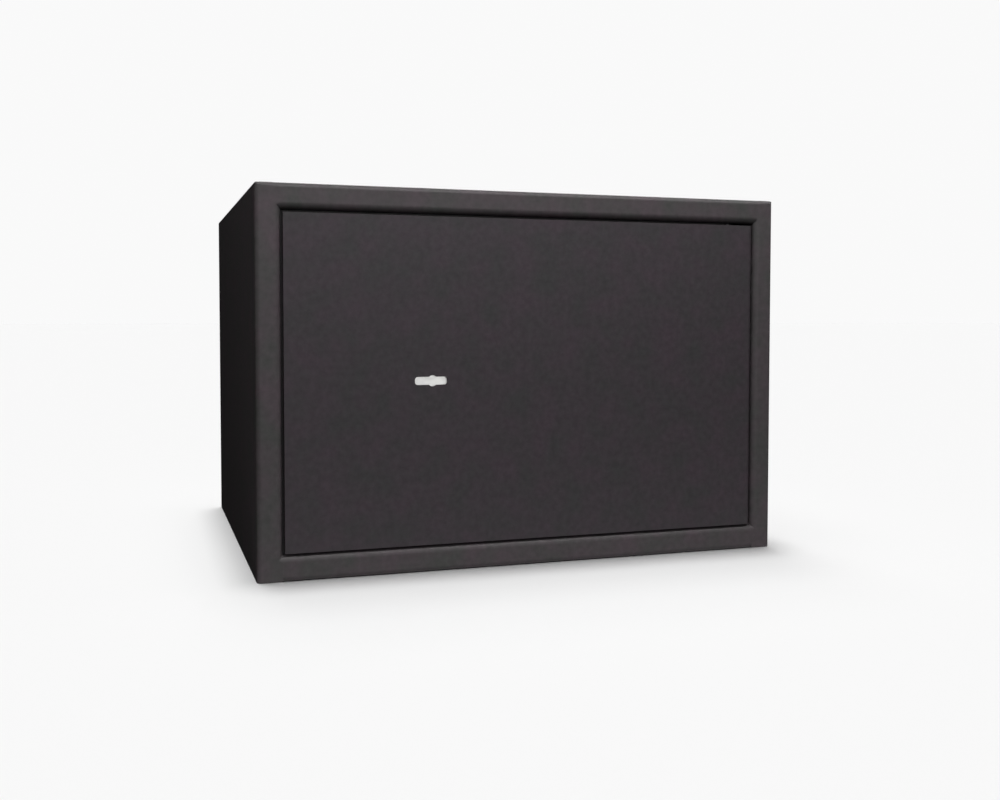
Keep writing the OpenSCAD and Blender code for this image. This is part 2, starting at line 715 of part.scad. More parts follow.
module cover_screws() color(zinc) for (x = cover_post_xs) for (z = cover_post_zs) difference() {
    union() {
        rod_y(cover_screw_r, [inner_back - cover_screw_len, gear_back], x, z);
        rod_y(cover_screw_head[0], [gear_back, gear_back + cover_screw_head[1]], x, z);
    }
    translate([x, face_y + gear_back + cover_screw_head[1] - socket_depth, z]) rotate([-90, 0, 0])
        cylinder(r = socket_r, h = socket_depth + over, $fn = 6);
}

module flap_pin() color(steel)
    rod_x(flap_pin_r, [key_x - groove_x + seat_gap, key_x + groove_x - seat_gap], flap_axis_d, flap_axis_z);

// Tube of rings swept along points, each ring square to the way there
module tube(points, r, sides) {
    last = len(points) - 1;
    rings = [for (i = [0 : last])
        let (way = points[min(i + 1, last)] - points[max(i - 1, 0)])
        let (t = way / norm(way))
        let (u = cross(t, [1, 0, 0.05]) / norm(cross(t, [1, 0, 0.05])))
        let (v = cross(t, u))
        for (k = [0 : sides - 1]) points[i] + r * (cos(360 * k / sides) * u + sin(360 * k / sides) * v)];
    sides_faces = [for (i = [0 : last - 1]) for (k = [0 : sides - 1])
        let (a = i * sides + k, b = i * sides + (k + 1) % sides)
        each [[a, b, b + sides], [a, b + sides, a + sides]]];
    caps = [[for (k = [sides - 1 : -1 : 0]) k], [for (k = [0 : sides - 1]) last * sides + k]];
    polyhedron(rings, concat(sides_faces, caps));
}

// Torsion spring on the flap's pin
module flap_spring() color(bright) {
    turns = 4;
    steps = 16;
    wire_r = 0.2;
    coil_r = flap_pin_r + 2 * wire_r - fit;
    length = 2 * (spring_half - flap_pin_r);
    coil = [for (i = [0 : turns * steps]) let (a = 360 * i / steps)
        [length * i / (turns * steps), coil_r * cos(a), coil_r * sin(a)]];
    translate([key_x - length / 2, face_y + flap_axis_d, flap_axis_z]) tube(coil, wire_r, 6);
}

// Boltwork

// One tooth of the rack, pointing up
module rack_tooth(x) {
    half = tooth_pitch / 4 - backlash / 2;
    tip = half - tooth_add * tan(pressure);
    root = half + tooth_ded * tan(pressure);
    polygon([[x - root, rack_line - tooth_ded - over], [x + root, rack_line - tooth_ded - over],
        [x + root, rack_line - tooth_ded], [x + tip, rack_line + tooth_add], [x - tip, rack_line + tooth_add],
        [x - root, rack_line - tooth_ded]]);
}

// Carriage: a plate with the rack in its window and slots for the studs, and a flange that carries the bolts
module bolt_carriage() color(zinc) {
    first = ceil((window_x[0] - key_x) / tooth_pitch);
    last = floor((window_x[1] - key_x) / tooth_pitch) - 1;
    plate([carriage_front, carriage_back]) {
        difference() {
            union() {
                translate([bolt_end, key_z - web_half_z]) square([web_hi_x - bolt_end, 2 * web_half_z]);
                translate([bolt_end, key_z - arm_half_z]) square([arm_end - bolt_end, 2 * arm_half_z]);
            }
            translate([window_x[0], rack_line - tooth_ded])
                square([window_x[1] - window_x[0], window_top - rack_line + tooth_ded]);
            for (z = stud_zs) translate([stud_x - stud_r - slide_gap, z - stud_r - slide_gap])
                square([throw + 2 * (stud_r + slide_gap), 2 * (stud_r + slide_gap)]);
        }
        for (i = [first : last]) rack_tooth(key_x + (i + 0.5) * tooth_pitch);
    }
    difference() {
        block([bolt_end, bolt_end + carriage_t], flange_d, [key_z - flange_half_z, key_z + flange_half_z]);
        for (z = bolt_zs)
            rod_x(bolt_screw_r + slide_gap, [bolt_end - over, bolt_end + carriage_t + over], bolt_axis, z);
    }
}

// Bolt with a chamfered tip and a tapped end
module bolt(z) difference() {
    union() {
        rod_x(bolt_r, [bolt_tip + bolt_chamfer, bolt_end], bolt_axis, z);
        translate([bolt_tip, face_y + bolt_axis, z]) rotate([0, 90, 0])
            cylinder(r1 = bolt_r - bolt_chamfer, r2 = bolt_r, h = bolt_chamfer);
    }
    rod_x(bolt_screw_r + fit, [bolt_end - bolt_tap, bolt_end + over], bolt_axis, z);
}

module upper_bolt() color(bright) bolt(bolt_zs[1]);
module lower_bolt() color(bright) bolt(bolt_zs[0]);

module bolt_screws() color(dark_steel) for (z = bolt_zs) difference() {
    head_x = [bolt_end + carriage_t, bolt_end + carriage_t + bolt_screw_head[1]];
    union() {
        rod_x(bolt_screw_r, [bolt_end - bolt_screw_len, head_x[0]], bolt_axis, z);
        rod_x(bolt_screw_head[0], head_x, bolt_axis, z);
    }
    translate([head_x[0] + bolt_screw_head[1] / 2, face_y + bolt_axis, z]) rotate([0, 90, 0])
        cylinder(r = bolt_screw_r - seat_gap, h = bolt_screw_head[1], $fn = 6);
}

// Stump that the levers hold or let pass, on a foot that is fixed to the carriage
module lever_stump() color(steel) {
    foot_front = carriage_front - stump_foot[1];
    block([stump_x - stump[0] / 2, stump_x + stump[0] / 2], [pack_front - wide_gap, foot_front],
        [key_z - stump[1] / 2, key_z + stump[1] / 2]);
    block([stump_x - stump_foot[0], stump_x + stump_foot[0]], [foot_front, carriage_front],
        [key_z - stump_foot[2], key_z + stump_foot[2]]);
}

// Key follower

// Involute angle at a radius, in degrees
function involute(r) = let (a = acos(min(1, base_r / r))) tan(a) * 180 / PI - a;

// Half of a tooth's angle at a radius
function tooth_half(r) = 90 / pinion_teeth + involute(pitch_r) - involute(max(r, base_r));

function polar(r, a) = [r * cos(a), r * sin(a)];

// Outline of the pinion, with one tooth pointing down
module pinion_outline() {
    steps = 5;
    tip_r = pitch_r + tooth_add;
    radii = concat([pitch_r - tooth_ded], [for (k = [0 : steps]) base_r + (tip_r - base_r) * k / steps]);
    flank = len(radii) - 1;
    polygon([for (t = [0 : pinion_teeth - 1]) let (c = 270 + 360 * t / pinion_teeth) each concat(
        [for (k = [0 : flank]) polar(radii[k], c - tooth_half(radii[k]))],
        [for (k = [flank : -1 : 0]) polar(radii[k], c + tooth_half(radii[k]))])]);
}

// Turned by the key's tip, which enters its slot; it runs in the lock cover and in the bearing bridge
module key_follower() color(steel) {
    hub_back = cover_back + seat_gap;
    flange_mid = hub_back + hub_flange_t / 2;
    pinion_back = carriage_back + seat_gap;
    slot_half = [slot_reach + slide_gap, slot_h / 2 + seat_gap];
    difference() {
        union() {
            rod_y(hub_r, [cover_front + fit, hub_back], key_x, key_z);
            rod_y(hub_flange_r, [hub_back, hub_back + hub_flange_t], key_x, key_z);
            plate([flange_mid, pinion_back]) translate([key_x, key_z]) pinion_outline();
            rod_y(journal_r, [flange_mid, bridge_back + journal_end], key_x, key_z);
        }
        block([key_x - slot_half[0], key_x + slot_half[0]], [cover_front - over, hub_back],
            [key_z - slot_half[1], key_z + slot_half[1]]);
        rod_y(round_r - wide_gap, [cover_front - over, hub_back + 3 * hub_flange_t], key_x, key_z);
    }
}

// Keyhole flap on its barrel
module keyhole_flap() color(bright) difference() {
    union() {
        block([key_x - flap_x, key_x + flap_x], [flap_front, flap_front + flap_t], [flap_lo, flap_axis_z]);
        for (xs = [[-flap_x, -spring_half], [spring_half, flap_x]])
            rod_x(barrel_r, [key_x + xs[0], key_x + xs[1]], flap_axis_d, flap_axis_z);
    }
    rod_x(flap_pin_r + fit, [key_x - flap_x - over, key_x + flap_x + over], flap_axis_d, flap_axis_z);
    block([key_x - spring_half, key_x + spring_half], [flap_front - over, flap_axis_d + barrel_r],
        [flap_axis_z - barrel_r - slide_gap, flap_axis_z + barrel_r]);
}

// Levers

function lever_front(i) = pack_front + (i - 1) * lever_step;

// Lever: an eye on the post, a head around the key's sweep and a tail with the gate between two pockets
module lever(i) color(brass) plate([lever_front(i), lever_front(i) + lever_t]) difference() {
    belly = bellies[i - 1];
    union() {
        translate([key_x, key_z]) circle(r = head_r);
        translate([post_x, key_z]) circle(r = eye_r);
        translate([key_x, key_z - post_r - head_wall]) square([post_x - key_x, 2 * (post_r + head_wall)]);
        translate([tail_end, key_z - tail_h / 2]) square([key_x - tail_end, tail_h]);
    }
    translate([post_x, key_z]) circle(r = post_r + fit);
    intersection() {
        translate([key_x, key_z]) circle(r = sweep_r);
        translate([key_x - sweep_r, key_z - belly]) square([2 * sweep_r, 2 * belly]);
    }
    translate([stump_x - throw, key_z - stump[1] / 2 - gate_gap]) square([throw, stump[1] + 2 * gate_gap]);
    for (x = [stump_x, stump_x - throw]) {
        rise = stump[1] / 2 + (post_x - x + stump[0] / 2) * sin(lever_drop) + gate_gap + seat_gap;
        translate([x - stump[0] / 2 - pocket_gap, key_z - rise])
            square([stump[0] + 2 * pocket_gap, 2 * rise]);
    }
}

left_side_panel();
right_side_panel();
top_panel();
bottom_panel();
back_panel();
left_stop_strip();
top_stop_strip();
bottom_stop_strip();
upper_hinge_bush();
lower_hinge_bush();
thrust_washer();
shelf();
left_shelf_rail();
right_shelf_rail();
floor_mat();
door_plate();
hard_plate();
upper_hinge_block();
lower_hinge_block();
upper_hinge_pin();
lower_hinge_pin();
hinge_set_screws();
dog_bar();
bolt_guide();
guide_studs();
guide_washers();
guide_nuts();
lock_case();
lock_cover();
lock_screws();
lever_post();
lever_spacer();
lever_stop_pin();
spring_block();
lever_springs();
bearing_bridge();
bridge_spacers();
bridge_screws();
cover_posts();
inner_cover();
cover_screws();
flap_pin();
flap_spring();
bolt_carriage();
upper_bolt();
lower_bolt();
bolt_screws();
lever_stump();
key_follower();
keyhole_flap();
for (i = [1 : lever_count]) lever(i);
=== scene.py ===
# %% [markdown]
# # A key-operated furniture safe
#
# The construction arrives packed: folded panels, a cut door plate, hinges, bolts and the lock, all in
# metres and all in place. This lesson gives those pieces their finishes, softens the edges that a press
# brake and a coat of powder leave, makes the mat look like felt, and lights the result. It adds no piece of
# its own. The frame is loaded first, because every finished piece stands for a packed one and rides on the
# same body.

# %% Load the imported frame
import json
import math

import bmesh
import bpy
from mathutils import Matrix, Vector, noise
from mathutils.bvhtree import BVHTree


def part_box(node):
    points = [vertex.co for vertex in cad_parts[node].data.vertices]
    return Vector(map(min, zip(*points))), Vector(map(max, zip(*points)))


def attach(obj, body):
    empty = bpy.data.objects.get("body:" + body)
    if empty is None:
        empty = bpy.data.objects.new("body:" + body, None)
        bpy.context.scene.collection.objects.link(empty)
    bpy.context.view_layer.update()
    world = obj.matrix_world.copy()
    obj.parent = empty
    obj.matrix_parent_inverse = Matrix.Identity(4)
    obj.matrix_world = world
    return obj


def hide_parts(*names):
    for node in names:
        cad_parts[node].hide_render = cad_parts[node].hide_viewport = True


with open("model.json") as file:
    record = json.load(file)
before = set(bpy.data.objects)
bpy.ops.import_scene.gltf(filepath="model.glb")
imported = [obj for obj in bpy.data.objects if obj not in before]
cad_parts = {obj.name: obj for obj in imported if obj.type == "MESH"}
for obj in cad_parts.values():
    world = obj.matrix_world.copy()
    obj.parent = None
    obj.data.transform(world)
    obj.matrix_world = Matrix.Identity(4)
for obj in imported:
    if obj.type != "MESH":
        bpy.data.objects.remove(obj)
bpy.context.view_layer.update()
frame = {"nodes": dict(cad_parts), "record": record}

nodes = frame["nodes"]

# %% [markdown]
# ## The camera
#
# The photograph was taken from the front, a little to the left of the safe and slightly above its middle. A
# camera could be set by eye, but then every edge would lie a few pixels off, and nothing could be compared.
# So its place, its turn and its focal length come from a fit to the cabinet's corners. The picture is a
# crop of a larger one, so its optical centre isn't in the middle of the frame, and a small shift puts it
# where it was.

# %% Camera
PHOTO_W, PHOTO_H = 1000, 800
SENSOR = 36.0
FOCAL_PX = 1075.3
OPTICAL_CENTRE_PX = (480.7, 363.9)
EYE = Vector((-0.3047, -0.9845, 0.1974))
TURN, DIP = math.radians(17.816), math.radians(2.335)

lens = bpy.data.cameras.new("camera")
lens.sensor_width = SENSOR
lens.lens = FOCAL_PX / PHOTO_W * SENSOR
lens.shift_x = (PHOTO_W / 2 - OPTICAL_CENTRE_PX[0]) / PHOTO_W
lens.shift_y = (OPTICAL_CENTRE_PX[1] - PHOTO_H / 2) / PHOTO_W
camera = bpy.data.objects.new("camera", lens)
camera.location = EYE
camera.rotation_euler = (math.pi / 2 - DIP, 0, -TURN)
scene = bpy.context.scene
scene.collection.objects.link(camera)
scene.camera = camera
scene.view_settings.view_transform = "Standard"
print(f"lens {lens.lens:.2f} mm, shift {lens.shift_x:.4f}, {lens.shift_y:.4f}")

# %% [markdown]
# ## Light
#
# The photograph is a studio picture on white. One image of a whole studio could light the scene from all
# around, but single lamps can be moved one by one, and each can be kept off the floor. Two helpers make
# them: flat lamps, which give the soft light of a softbox, and suns, which light every part of a face
# alike. No lamp shows to the camera.

# %% Two kinds of lamp
FLOOR_MIDDLE = (0, 0, 0)


def lamp(name, kind, place, target, energy, **settings):
    """A lamp at a place, aimed at a point and hidden from the camera."""
    data = bpy.data.lights.new(name, kind)
    data.energy = energy
    for key, value in settings.items():
        setattr(data, key, value)
    obj = bpy.data.objects.new(name, data)
    obj.location = place
    obj.rotation_euler = (Vector(target) - obj.location).to_track_quat("-Z", "Y").to_euler()
    obj.visible_camera = False
    scene.collection.objects.link(obj)
    return obj


def flat_lamp(name, place, target, energy, width, depth):
    """A rectangular lamp with its sides in metres."""
    return lamp(name, "AREA", place, target, energy, shape="RECTANGLE", size=width, size_y=depth)


def sun(name, place, energy, disc):
    """A sun that shines from a place to the middle of the floor, with its disc in degrees."""
    return lamp(name, "SUN", place, FLOOR_MIDDLE, energy, angle=math.radians(disc))


print("suns shine towards", FLOOR_MIDDLE)

# %% [markdown]
# One long softbox stands close in front of the door and above it, so the front is lighter at its top than
# at its foot, and the folds that look up catch the light. A wide and weaker lamp fills from far in front. A
# sun from behind lights the top and the back, and a lamp on each side shapes the side walls. A strip on the
# ground along the front edge stands for the light that a white floor throws back up, which brightens the
# lowest fold.

# %% Lamps for the safe
DOOR_MIDDLE = (0, -0.175, 0.15)
LEFT_WALL = (-0.22, -0.05, 0.18)
RIGHT_WALL = (0.22, 0, 0.18)
STRIP = (0.05, -0.27, 0.0005)
ABOVE_STRIP = (0.05, -0.27, 0.3)

SAFE_LAMPS = [
    flat_lamp("softbox", (0.1, -0.6, 0.9), DOOR_MIDDLE, energy=9.1, width=1.2, depth=0.3),
    flat_lamp("front", (0.2, -3.0, 0.9), DOOR_MIDDLE, energy=13.3, width=1.6, depth=1.6),
    sun("behind", (0.4, 1.6, 1.1), energy=2.9, disc=40),
    flat_lamp("left", (-1.3, -0.8, 0.9), LEFT_WALL, energy=4.2, width=0.6, depth=0.6),
    flat_lamp("right", (1.3, 0.1, 0.9), RIGHT_WALL, energy=6, width=0.8, depth=0.8),
    flat_lamp("bounce", STRIP, ABOVE_STRIP, energy=0.21, width=0.8, depth=0.2),
]
print("for the safe:", ", ".join(one.name for one in SAFE_LAMPS))

# %% [markdown]
# The shadow on the floor is dark under the edges and fades within a hand's breadth. A single sun draws it
# either narrow or wide, so four are laid over each other. A narrow one from nearly overhead keeps the
# shadow close, a wide one softens it, and two lower ones from behind draw it forward.

# %% Lamps for the floor
FLOOR_LAMPS = [
    sun("floor_near", (0, 0.1, 2), energy=2.2, disc=12),
    sun("floor_wide", (-0.2, 0, 2), energy=0.65, disc=45),
    sun("floor_back", (0.05, 0.5, 2), energy=0.43, disc=18),
    sun("floor_low", (0.05, 1, 2), energy=0.2, disc=20),
]
print("for the floor:", ", ".join(one.name for one in FLOOR_LAMPS))

# %% [markdown]
# ## World and floor
#
# The background is white, but it throws no light on the safe, as black flags beside a dark product would
# see to, so the left wall stays nearly black. The floor is one plane. A curved sweep of paper would hide
# the horizon as well, but it stands behind the safe in one view only. A plane that reaches far out looks
# the same from all sides. The safe doesn't see it, because the strip on the ground stands for its light.

# %% White world
WORLD_WHITE = 0.95
world = bpy.data.worlds.new("white")
world.use_nodes = True
background = world.node_tree.nodes["Background"]
background.inputs["Color"].default_value = (WORLD_WHITE, WORLD_WHITE, WORLD_WHITE, 1)
world.cycles_visibility.diffuse = False
world.cycles_visibility.glossy = False
scene.world = world
print("world:", world.name)

# %% Floor
FLOOR_HALF = 60
ground = bmesh.new()
bmesh.ops.create_grid(ground, x_segments=1, y_segments=1, size=FLOOR_HALF)
floor_mesh = bpy.data.meshes.new("floor")
ground.to_mesh(floor_mesh)
ground.free()
floor = bpy.data.objects.new("floor", floor_mesh)
scene.collection.objects.link(floor)
floor.visible_diffuse = False
floor.visible_glossy = False
print(f"floor {2 * FLOOR_HALF} m wide")

# %% [markdown]
# Lamps that are bright enough for white paper would turn the safe grey. Their power could be a compromise,
# but Blender can link a lamp to a collection of the things that it may shine on. So the safe and the floor
# are lit apart.

# %% What each lamp falls on
def shines_on(lamps, name, objects, but_not=False):
    """Limits lamps to a group of objects, or to all but that group."""
    group = bpy.data.collections.new(name)
    for obj in objects:
        group.objects.link(obj)
    for member in group.collection_objects:
        member.light_linking.link_state = "EXCLUDE" if but_not else "INCLUDE"
    for one in lamps:
        one.light_linking.receiver_collection = group
    print(f"{name}: lit by", ", ".join(one.name for one in lamps))


shines_on(SAFE_LAMPS, "all but the floor", [floor], but_not=True)
shines_on(FLOOR_LAMPS, "the floor alone", [floor])

# %% [markdown]
# ## Materials
#
# Every finish starts from one shader. A value that is the same all over a surface is set on the shader's
# own socket, where an exported model keeps it. The paper on the floor needs nothing more, because studio
# paper is white and has no gloss.

# %% A plain material, and paper for the floor
def material(name, colour, roughness, metallic=0.0, specular=0.5):
    """A material whose constants are set on the shader's own sockets."""
    made = bpy.data.materials.new(name)
    made.use_nodes = True
    shader = made.node_tree.nodes["Principled BSDF"]
    shader.inputs["Base Color"].default_value = (*colour, 1)
    shader.inputs["Roughness"].default_value = roughness
    shader.inputs["Metallic"].default_value = metallic
    shader.inputs["Specular IOR Level"].default_value = specular
    return made, shader


PAPER_WHITE = 0.86
paper = material("paper", (PAPER_WHITE, PAPER_WHITE, PAPER_WHITE), 1.0, specular=0.0)[0]
floor.data.materials.append(paper)
print("floor covered with", paper.name)

# %% [markdown]
# ### Grain
#
# No real surface has one even colour. Pictures could carry its changes, but they need unwrapped pieces and
# they blur close up. So each finish is built from noise on the object's own coordinates. These are metres,
# which gives every grain its real size, and the noise runs over an edge without a seam.

# %% Noise in metres
MM = 0.001


def add_node(tree, kind, **values):
    """A node with some of its inputs set by name."""
    made = tree.nodes.new(kind)
    for key, value in values.items():
        made.inputs[key].default_value = value
    return made


def grain(tree, scale, detail=2.0, stretch=(1, 1, 1)):
    """Noise on object coordinates; a stretch above 1 packs it tighter along that axis."""
    place = tree.nodes.new("ShaderNodeTexCoord")
    mapping = add_node(tree, "ShaderNodeMapping", Scale=stretch)
    texture = add_node(tree, "ShaderNodeTexNoise", Scale=scale, Detail=detail)
    tree.links.new(place.outputs["Object"], mapping.inputs["Vector"])
    tree.links.new(mapping.outputs["Vector"], texture.inputs["Vector"])
    return texture.outputs["Fac"]


print(f"a grain of half a millimetre is a noise scale of {1 / (0.5 * MM):.0f}")

# %% A number and a colour that follow noise
# Noise seldom leaves this range, so a change runs from one end of it to the other.
NOISE_LOW, NOISE_HIGH = 0.3, 0.7


def between(tree, factor, low, high):
    """A number that follows noise from low to high."""
    ends = {"From Min": NOISE_LOW, "From Max": NOISE_HIGH, "To Min": low, "To Max": high}
    spread = add_node(tree, "ShaderNodeMapRange", **ends)
    tree.links.new(factor, spread.inputs["Value"])
    return spread.outputs["Result"]


def tints(tree, factor, first, second):
    """A colour that follows noise from the first to the second."""
    ramp = tree.nodes.new("ShaderNodeValToRGB")
    start, end = ramp.color_ramp.elements
    start.position, end.position = NOISE_LOW, NOISE_HIGH
    start.color, end.color = (*first, 1), (*second, 1)
    tree.links.new(factor, ramp.inputs["Fac"])
    return ramp.outputs["Color"]


print(f"changes follow noise from {NOISE_LOW} to {NOISE_HIGH}")

# %% [markdown]
# ### Powder coat
#
# The cabinet and the door wear a fine matt anthracite powder coat. The powder melts into pebbles about half
# a millimetre across. A displaced mesh could hold them, but only with millions of faces, so the bumps tilt
# the light on a flat face instead. The colour drifts in patches of a few centimetres, a little redder here
# and a little greener there, and in smaller specks it is a little lighter or darker. The stop strips behind
# the gap round the door are coloured nearly black as painted shade, so the gap reads dark.

# %% Specks and pebbles
PATCH_GRAIN = 45
SPECK_GRAIN = 200
SPECK_CHANGE = 0.14
GLOSS_GRAIN = 700
GLOSS_CHANGE = 0.05
PEBBLE_GRAIN = 1800
PEBBLE_HEIGHT = 0.04 * MM


def times(tree, colour, factor):
    """A colour made lighter or darker by a number."""
    product = tree.nodes.new("ShaderNodeVectorMath")
    product.operation = "SCALE"
    tree.links.new(colour, product.inputs["Vector"])
    tree.links.new(factor, product.inputs["Scale"])
    return product.outputs["Vector"]


def relief(tree, shader, height, distance, strength):
    """Bumps of a height in metres."""
    bump = add_node(tree, "ShaderNodeBump", Strength=strength, Distance=distance)
    tree.links.new(height, bump.inputs["Height"])
    tree.links.new(bump.outputs["Normal"], shader.inputs["Normal"])


print(f"pebbles {1 / PEBBLE_GRAIN / MM:.2f} mm wide and {PEBBLE_HEIGHT / MM:.2f} mm high")

# %% Powder coat
REDDER = (1.14, 0.99, 1.10)
GREENER = (0.87, 0.99, 0.92)


def shifted(colour, shift):
    """A colour with each of its channels multiplied."""
    return tuple(channel * change for channel, change in zip(colour, shift))


def powder_coat(name, colour, roughness=0.55):
    """Fine pebbled powder over steel."""
    made, shader = material(name, colour, roughness, specular=0.35)
    tree = made.node_tree
    drift = grain(tree, PATCH_GRAIN, detail=3)
    patches = tints(tree, drift, shifted(colour, REDDER), shifted(colour, GREENER))
    specks = between(tree, grain(tree, SPECK_GRAIN, detail=4), 1 - SPECK_CHANGE, 1 + SPECK_CHANGE)
    gloss = between(tree, grain(tree, GLOSS_GRAIN), roughness - GLOSS_CHANGE, roughness + GLOSS_CHANGE)
    tree.links.new(times(tree, patches, specks), shader.inputs["Base Color"])
    tree.links.new(gloss, shader.inputs["Roughness"])
    relief(tree, shader, grain(tree, PEBBLE_GRAIN, detail=3), PEBBLE_HEIGHT, strength=0.6)
    return made


FINISHES = {
    "cabinet_coat": powder_coat("cabinet_coat", (0.058, 0.051, 0.053)),
    "door_coat": powder_coat("door_coat", (0.0388, 0.0325, 0.0367)),
    # A nearly black coat for the stop strips: painted shade that darkens the gap round the door.
    "painted_shade_coat": powder_coat("painted_shade_coat", (0.014, 0.012, 0.013)),
}
print("coats:", ", ".join(FINISHES))

# %% [markdown]
# ### Metals
#
# Inside the door the fittings are bare or plated. Zinc plate is a soft grey with a faint blue and yellow
# sheen, the levers are brass, and the hardened plates are blackened. A turned, drawn or ground part carries
# fine lines. An anisotropic shader could show them, but it needs a direction on every face. Noise that is
# packed tighter along one axis gives lines without one.

# %% Metals
METAL_GLOSS_GRAIN = 400
METAL_GLOSS_CHANGE = 0.06
TOOL_MARK_GRAIN = 900
TOOL_MARK_DEPTH = 0.01 * MM


def metal(name, first, second, roughness, patch=60, lines=(1, 1, 1)):
    """Metal that drifts between two tints; lines says how tight the marks of the tool are packed."""
    made, shader = material(name, first, roughness, metallic=1.0)
    tree = made.node_tree
    least, most = roughness - METAL_GLOSS_CHANGE, roughness + METAL_GLOSS_CHANGE
    tree.links.new(tints(tree, grain(tree, patch, detail=3), first, second), shader.inputs["Base Color"])
    tree.links.new(between(tree, grain(tree, METAL_GLOSS_GRAIN), least, most), shader.inputs["Roughness"])
    relief(tree, shader, grain(tree, TOOL_MARK_GRAIN, stretch=lines), TOOL_MARK_DEPTH, strength=0.5)
    return made


METALS = {
    "zinc_plate": metal("zinc_plate", (0.50, 0.53, 0.56), (0.58, 0.56, 0.48), roughness=0.38),
    "bright_steel": metal("bright_steel", (0.72, 0.72, 0.70), (0.66, 0.66, 0.65), roughness=0.42,
                          patch=90, lines=(4, 0.2, 0.2)),
    "steel": metal("steel", (0.36, 0.36, 0.37), (0.30, 0.30, 0.30), roughness=0.42,
                   patch=50, lines=(0.2, 0.2, 3)),
    "dark_steel": metal("dark_steel", (0.045, 0.045, 0.05), (0.07, 0.065, 0.065), roughness=0.5,
                        patch=40),
    "brass": metal("brass", (0.62, 0.45, 0.18), (0.55, 0.37, 0.13), roughness=0.35,
                   patch=70, lines=(3, 0.2, 0.2)),
}
FINISHES.update(METALS)
print("metals:", ", ".join(METALS))

# %% [markdown]
# ## Softened pieces
#
# A sheet that was cut, folded and coated has no edge as sharp as its drawing. A Bevel modifier could soften
# each edge above an angle, but it would also soften those that lie in a joint. The four panels of the
# cabinet are welded at the corners and ground flush before they are coated, so no line shows there. A bevel
# in bmesh takes a list of edges, and the list leaves out the edges in these joints. An edge lies in a joint
# where both its ends and its middle touch a neighbouring panel.

# %% Which edges lie in a ground joint
WELDED = ("left_side_panel", "right_side_panel", "top_panel", "bottom_panel")
TOUCHING = 0.02 * MM


def surface(name):
    """A search tree over a node's faces."""
    shape = bmesh.new()
    shape.from_mesh(nodes[name].data)
    tree = BVHTree.FromBMesh(shape)
    shape.free()
    return tree


def touches(tree, points):
    """True where all the points lie on a surface."""
    return all(tree.find_nearest(point, TOUCHING)[0] is not None for point in points)


surfaces = {name: surface(name) for name in WELDED}


def in_joint(edge, name):
    """True where an edge of a welded panel lies against the panel next to it."""
    if name not in WELDED:
        return False
    ends = [vert.co for vert in edge.verts]
    points = ends + [(ends[0] + ends[1]) / 2]
    return any(touches(surfaces[other], points) for other in WELDED if other != name)


print(len(surfaces), "panels welded at the corners")

# %% [markdown]
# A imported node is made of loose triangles. Its doubles are merged and its flat faces joined back together,
# which leaves the edges of the drawing. Those with a real angle are then bevelled by a fraction of a
# millimetre.

# %% A copy with softened edges
SAME_POINT = 0.001 * MM
SAME_PLANE = math.radians(0.3)
REAL_ANGLE = math.radians(30)


def softened(name, width, segments=2):
    """A bmesh copy of a node with its edges bevelled."""
    shape = bmesh.new()
    shape.from_mesh(nodes[name].data)
    bmesh.ops.remove_doubles(shape, verts=shape.verts, dist=SAME_POINT)
    bmesh.ops.dissolve_limit(shape, angle_limit=SAME_PLANE, verts=shape.verts, edges=shape.edges)
    if width:
        edges = [edge for edge in shape.edges
                 if edge.is_manifold and edge.calc_face_angle() > REAL_ANGLE and not in_joint(edge, name)]
        bmesh.ops.bevel(shape, geom=edges, offset=width, offset_type="OFFSET", segments=segments,
                        profile=0.5, affect="EDGES", clamp_overlap=True, material=-1)
    return shape


print(f"an edge is bevelled where it turns by more than {math.degrees(REAL_ANGLE):.0f} degrees")

# %% [markdown]
# Smooth shading alone would bend the light over the whole of a flat face. Flat shading alone would show
# the facets of every round. A Weighted Normal modifier lets the largest faces decide, so a flat stays flat
# and only its edge catches the light. Then a piece gets its finish and is hung on the body that it rides
# on, and the node that it stands for is hidden.

# %% From bmesh to finished piece
SHARP_ANGLE = math.radians(50)


def as_object(shape, name):
    """A smooth-shaded object from a bmesh, whose sharp edges stay sharp."""
    mesh = bpy.data.meshes.new(name)
    shape.to_mesh(mesh)
    shape.free()
    for layer in [one for one in mesh.attributes if one.name == "custom_normal"]:
        mesh.attributes.remove(layer)
    mesh.shade_smooth()
    mesh.set_sharp_from_angle(angle=SHARP_ANGLE)
    obj = bpy.data.objects.new(name, mesh)
    scene.collection.objects.link(obj)
    obj.modifiers.new("flat faces stay flat", "WEIGHTED_NORMAL").keep_sharp = True
    return obj


def finish_piece(obj, finish, body, node):
    """Gives a piece its material and its body, and hides the node that it stands for."""
    obj.data.materials.clear()
    obj.data.materials.append(FINISHES[finish])
    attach(obj, body)
    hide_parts(node)


print(f"an edge stays sharp where it turns by more than {math.degrees(SHARP_ANGLE):.0f} degrees")

# %% [markdown]
# One width for all would round the small parts away and leave the large ones sharp. So each finish has a
# width, and some pieces have one of their own. The flap's spring is bent from round wire and has no edge to
# soften. The felt mat comes later, because it needs more than soft edges.

# %% How wide each edge is
WIDTH_OF_FINISH = {
    "cabinet_coat": 0.25 * MM, "door_coat": 0.45 * MM, "zinc_plate": 0.2 * MM, "bright_steel": 0.1 * MM,
    "steel": 0.2 * MM, "dark_steel": 0.15 * MM, "brass": 0.12 * MM,
}
WIDTH_OF_PIECE = {
    "door_plate": 0.2 * MM, "inner_cover": 0.4 * MM, "dog_bar": 0.5 * MM, "bolt_guide": 0.4 * MM,
    "upper_bolt": 0.3 * MM, "lower_bolt": 0.3 * MM,
    "upper_hinge_block": 0.5 * MM, "lower_hinge_block": 0.5 * MM,
    "keyhole_flap": 0.12 * MM, "flap_pin": 0.1 * MM, "flap_spring": 0,
}
print(f"{len(WIDTH_OF_PIECE)} pieces have a width of their own")

